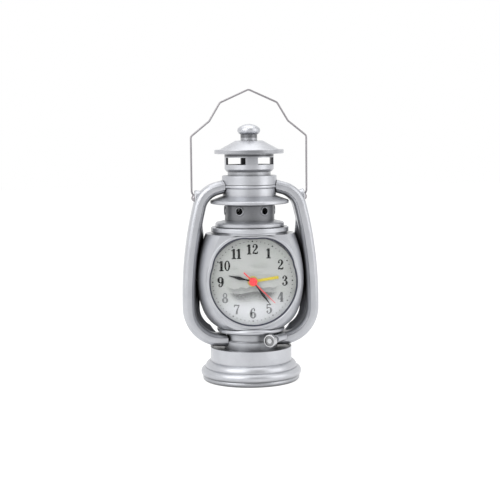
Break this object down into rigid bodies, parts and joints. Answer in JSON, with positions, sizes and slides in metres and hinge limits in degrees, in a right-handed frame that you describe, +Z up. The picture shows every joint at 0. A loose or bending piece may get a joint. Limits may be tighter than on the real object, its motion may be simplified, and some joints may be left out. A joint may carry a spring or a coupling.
{
  "type": "oil lamp alarm clock",
  "caption": "Quartz alarm clock shaped like a hurricane oil lamp, with hollow side tubes, hood, wire bail, four-hand dial and rear setting knobs.",
  "frame": {"origin": "centre of the base, in the plane it stands on", "axes": "+Z up along the lamp's axis; -Y is the dial's side; +X is to the right of someone who reads the dial"},
  "size_m": [0.0938, 0.0694, 0.1994],
  "materials": {
    "silver_paint": "fine metallic silver lacquer over moulded plastic",
    "grey_paint": "darker metallic lacquer over moulded plastic",
    "steel": "bright zinc plate",
    "bail_wire": "drawn steel wire",
    "knob_chrome": "bright plated",
    "lens_clear": "clear, polished",
    "dial_face": "silver-white with a fine grain and a soft grey print",
    "hand_black": "satin black",
    "hand_red": "satin red",
    "hand_yellow": "satin yellow",
    "case_plastic": "off-white moulding",
    "nylon": "translucent white moulding",
    "magnet": "sintered grey",
    "copper_wire": "enamelled winding",
    "board_green": "solder mask",
    "wheel_brass": "turned",
    "black_plastic": "fine grain",
    "cell_jacket": "plain sleeve with no print"
  },
  "bodies": {
    "lamp": {"base_shell": "silver_paint", "base_cover": "silver_paint", "base_screws": "steel", "burner_collar": "silver_paint", "gallery_ring": "silver_paint", "tube_left_front": "silver_paint", "tube_left_rear": "silver_paint", "tube_right_front": "silver_paint", "tube_right_rear": "silver_paint", "globe_front": "silver_paint", "globe_rear": "silver_paint", "shoulder_ring": "silver_paint", "chimney_ring": "silver_paint", "chimney": "grey_paint", "hood_skirt": "silver_paint", "hood_drum": "silver_paint", "vent_crown": "silver_paint", "cap": "silver_paint", "finial": "silver_paint", "lens": "lens_clear", "dial_spacer": "silver_paint", "dial_plate": "dial_face", "front_plate": "case_plastic", "rear_case": "case_plastic", "train_bridge": "case_plastic", "movement_screws": "steel", "stator": "steel", "coil_core": "steel", "coil": "copper_wire", "circuit_board": "board_green", "buzzer": "black_plastic", "battery_tray": "black_plastic", "contact_spring": "steel", "contact_plate": "steel", "battery": "cell_jacket"},
    "bail": {"bail": "bail_wire"},
    "wick_knob": {"wick_knob": "knob_chrome"},
    "seconds": {"second_wheel": "wheel_brass", "second_hand": "hand_red"},
    "intermediate": {"intermediate_wheel": "nylon"},
    "rotor": {"rotor": "magnet"},
    "third": {"third_wheel": "nylon"},
    "centre": {"centre_wheel": "wheel_brass"},
    "minutes": {"cannon_pinion": "wheel_brass", "minute_hand": "hand_black"},
    "motion_work": {"minute_wheel": "nylon"},
    "hours": {"hour_wheel": "nylon", "hour_hand": "hand_black"},
    "time_setting": {"time_stem": "nylon", "time_knob": "black_plastic"},
    "alarm": {"alarm_wheel": "nylon", "alarm_hand": "hand_yellow"},
    "alarm_setting": {"alarm_stem": "nylon", "alarm_knob": "black_plastic"},
    "alarm_switch": {"alarm_switch": "black_plastic"},
    "battery_door": {"battery_door": "silver_paint"}
  },
  "joints": [
    {"name": "bail_swing", "type": "hinge", "parent": "lamp", "child": "bail", "pos_m": [0, 0, 0.1257], "axis": [1, 0, 0], "range_deg": [-115, 115]},
    {"name": "wick_knob_turn", "type": "hinge", "parent": "lamp", "child": "wick_knob", "pos_m": [0.0096, -0.0255, 0.03], "axis": [-0.5736, -0.8192, 0], "continuous": true},
    {"name": "second_hand_turn", "type": "hinge", "parent": "lamp", "child": "seconds", "pos_m": [0, 0, 0.0695], "axis": [0, 1, 0], "continuous": true},
    {"name": "intermediate_turn", "type": "hinge", "parent": "lamp", "child": "intermediate", "pos_m": [0.00693, 0, 0.07643], "axis": [0, 1, 0], "continuous": true},
    {"name": "rotor_turn", "type": "hinge", "parent": "lamp", "child": "rotor", "pos_m": [0.01381, 0, 0.07161], "axis": [0, 1, 0], "continuous": true},
    {"name": "third_turn", "type": "hinge", "parent": "lamp", "child": "third", "pos_m": [0.00891, 0, 0.06059], "axis": [0, 1, 0], "continuous": true},
    {"name": "centre_turn", "type": "hinge", "parent": "lamp", "child": "centre", "pos_m": [0, 0, 0.0695], "axis": [0, 1, 0], "continuous": true},
    {"name": "minute_hand_turn", "type": "hinge", "parent": "lamp", "child": "minutes", "pos_m": [0, 0, 0.0695], "axis": [0, 1, 0], "continuous": true},
    {"name": "motion_work_turn", "type": "hinge", "parent": "lamp", "child": "motion_work", "pos_m": [-0.00831, 0, 0.0743], "axis": [0, 1, 0], "continuous": true},
    {"name": "hour_hand_turn", "type": "hinge", "parent": "lamp", "child": "hours", "pos_m": [0, 0, 0.0695], "axis": [0, 1, 0], "continuous": true},
    {"name": "time_knob_turn", "type": "hinge", "parent": "lamp", "child": "time_setting", "pos_m": [-0.00831, 0, 0.0839], "axis": [0, 1, 0], "continuous": true},
    {"name": "alarm_hand_turn", "type": "hinge", "parent": "lamp", "child": "alarm", "pos_m": [0, 0, 0.0695], "axis": [0, 1, 0], "continuous": true},
    {"name": "alarm_knob_turn", "type": "hinge", "parent": "lamp", "child": "alarm_setting", "pos_m": [-0.00848, 0, 0.05939], "axis": [0, 1, 0], "continuous": true},
    {"name": "alarm_switch_slide", "type": "slide", "parent": "lamp", "child": "alarm_switch", "axis": [0, 0, 1], "range_m": [0, 0.004]},
    {"name": "battery_door_lift", "type": "slide", "parent": "lamp", "child": "battery_door", "axis": [0, 1, 0], "range_m": [0, 0.02]}
  ],
  "couplings": [
    {"joint": "intermediate_turn", "follows": "second_hand_turn", "ratio": -6},
    {"joint": "rotor_turn", "follows": "second_hand_turn", "ratio": 30},
    {"joint": "third_turn", "follows": "second_hand_turn", "ratio": -0.125},
    {"joint": "centre_turn", "follows": "second_hand_turn", "ratio": 0.016667},
    {"joint": "motion_work_turn", "follows": "minute_hand_turn", "ratio": -0.33333},
    {"joint": "hour_hand_turn", "follows": "minute_hand_turn", "ratio": 0.083333},
    {"joint": "time_knob_turn", "follows": "minute_hand_turn", "ratio": 1},
    {"joint": "alarm_knob_turn", "follows": "alarm_hand_turn", "ratio": -1.5385}
  ]
}
